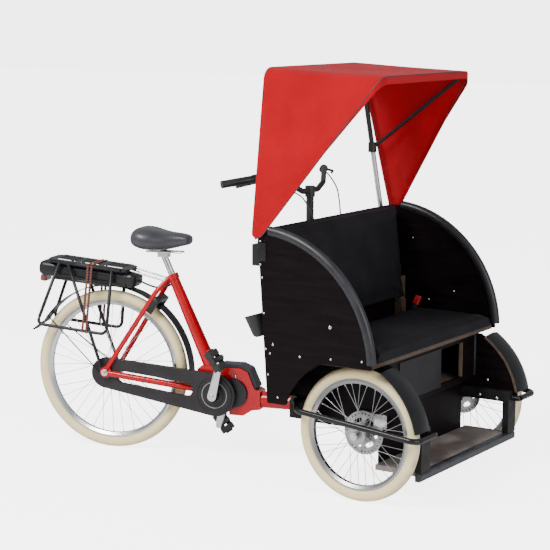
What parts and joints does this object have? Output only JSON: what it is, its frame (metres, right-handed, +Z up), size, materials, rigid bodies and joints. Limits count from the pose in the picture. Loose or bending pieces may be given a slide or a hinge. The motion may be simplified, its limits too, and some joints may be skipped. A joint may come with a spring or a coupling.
{
  "type": "front-loading electric passenger tricycle (rickshaw)",
  "caption": "Pedal-assist passenger tricycle: a hooded bench box on the steered front wheels, hinged to a rear frame with motor, saddle, carrier and battery.",
  "frame": {"origin": "on the floor, in the middle of the whole tricycle's footprint as it is parked", "axes": "+X forward along the passenger box, +Y to its left, +Z up; the rear frame stands turned under the box"},
  "size_m": [1.8684, 1.033, 1.5692],
  "materials": {
    "red_frame": "glossy red paint",
    "motor": "dark grey cast housing",
    "dark_plastic": "dark grey plastic",
    "steel": "plain steel",
    "tyre": "cream rubber",
    "wheel": "silver rim and spokes",
    "crank": "grey alloy",
    "pedal": "black with amber reflectors",
    "black_steel": "black paint",
    "battery": "black case",
    "cable": "black outer",
    "lamp": "red lens",
    "strap": "woven elastic",
    "silver": "silver tube",
    "saddle": "smooth dark cover",
    "plywood": "dark film-faced plywood",
    "rubber": "dark rubber",
    "footboard": "worn board",
    "nosing": "grey edge profile",
    "cushion": "charcoal cloth",
    "hood": "red coated cloth",
    "lever": "black alloy",
    "buckle": "red plastic",
    "flap": "dark grey sheet",
    "batten": "brown batten"
  },
  "bodies": {
    "frame": {"rear_frame": "red_frame", "drive_motor": "motor", "seat_stays": "red_frame", "chain_stays": "red_frame", "rear_axle": "steel", "chain_case": "dark_plastic", "motor_cover": "dark_plastic", "rear_mudguard": "black_steel", "carrier_deck": "black_steel", "battery": "battery", "carrier_sides": "black_steel", "seat_post": "silver", "saddle": "saddle", "ring_lock": "dark_plastic", "carrier_struts": "steel", "tail_lamp": "lamp", "carrier_strap": "strap", "battery_cable": "cable"},
    "back_wheel": {"rear_tyre": "tyre", "rear_wheel": "wheel"},
    "crank": {"crank_arms": "crank"},
    "right_pedal": {"pedal_right": "pedal"},
    "left_pedal": {"pedal_left": "pedal"},
    "front_box": {"front_chassis": "black_steel", "steering_pin": "steel", "front_axle_stubs": "steel", "tub_sides": "plywood", "tub_back": "plywood", "seat_board": "plywood", "tub_edge_trims": "rubber", "lower_sides": "plywood", "wheel_arches": "rubber", "rear_skirts": "plywood", "seat_riser": "plywood", "under_seat_panels": "plywood", "footboard": "footboard", "foot_nosing": "nosing", "guard_bars": "black_steel", "seat_cushion": "cushion", "back_cushion": "cushion", "hood_frame": "silver", "hood_cloth": "hood", "handlebar": "black_steel", "grips": "rubber", "brake_levers": "lever", "brake_cables": "cable", "brake_callipers": "lever", "cup_holder": "black_steel", "belt_buckles": "buckle", "store_flap": "flap", "corner_battens": "batten"},
    "right_wheel": {"tyre_right": "tyre", "wheel_right": "wheel"},
    "left_wheel": {"tyre_left": "tyre", "wheel_left": "wheel"}
  },
  "joints": [
    {"name": "steering", "type": "hinge", "parent": "frame", "child": "front_box", "pos_m": [0.53787, 0, 0.245], "axis": [0, 0, 1], "range_deg": [-20, 50]},
    {"name": "right_wheel_spin", "type": "hinge", "parent": "front_box", "child": "right_wheel", "pos_m": [0.64987, -0.425, 0.25], "axis": [0, 1, 0], "continuous": true},
    {"name": "left_wheel_spin", "type": "hinge", "parent": "front_box", "child": "left_wheel", "pos_m": [0.64987, 0.425, 0.25], "axis": [0, 1, 0], "continuous": true},
    {"name": "back_wheel_spin", "type": "hinge", "parent": "frame", "child": "back_wheel", "pos_m": [-0.59129, -0.30256, 0.326], "axis": [-0.2588, 0.9659, 0], "continuous": true},
    {"name": "crank_spin", "type": "hinge", "parent": "frame", "child": "crank", "pos_m": [-0.14214, -0.18221, 0.262], "axis": [-0.2588, 0.9659, 0], "continuous": true},
    {"name": "right_pedal_spin", "type": "hinge", "parent": "crank", "child": "right_pedal", "pos_m": [-0.07005, -0.30783, 0.42277], "axis": [-0.2588, 0.9659, 0], "continuous": true},
    {"name": "left_pedal_spin", "type": "hinge", "parent": "crank", "child": "left_pedal", "pos_m": [-0.21422, -0.05659, 0.10123], "axis": [-0.2588, 0.9659, 0], "continuous": true}
  ]
}
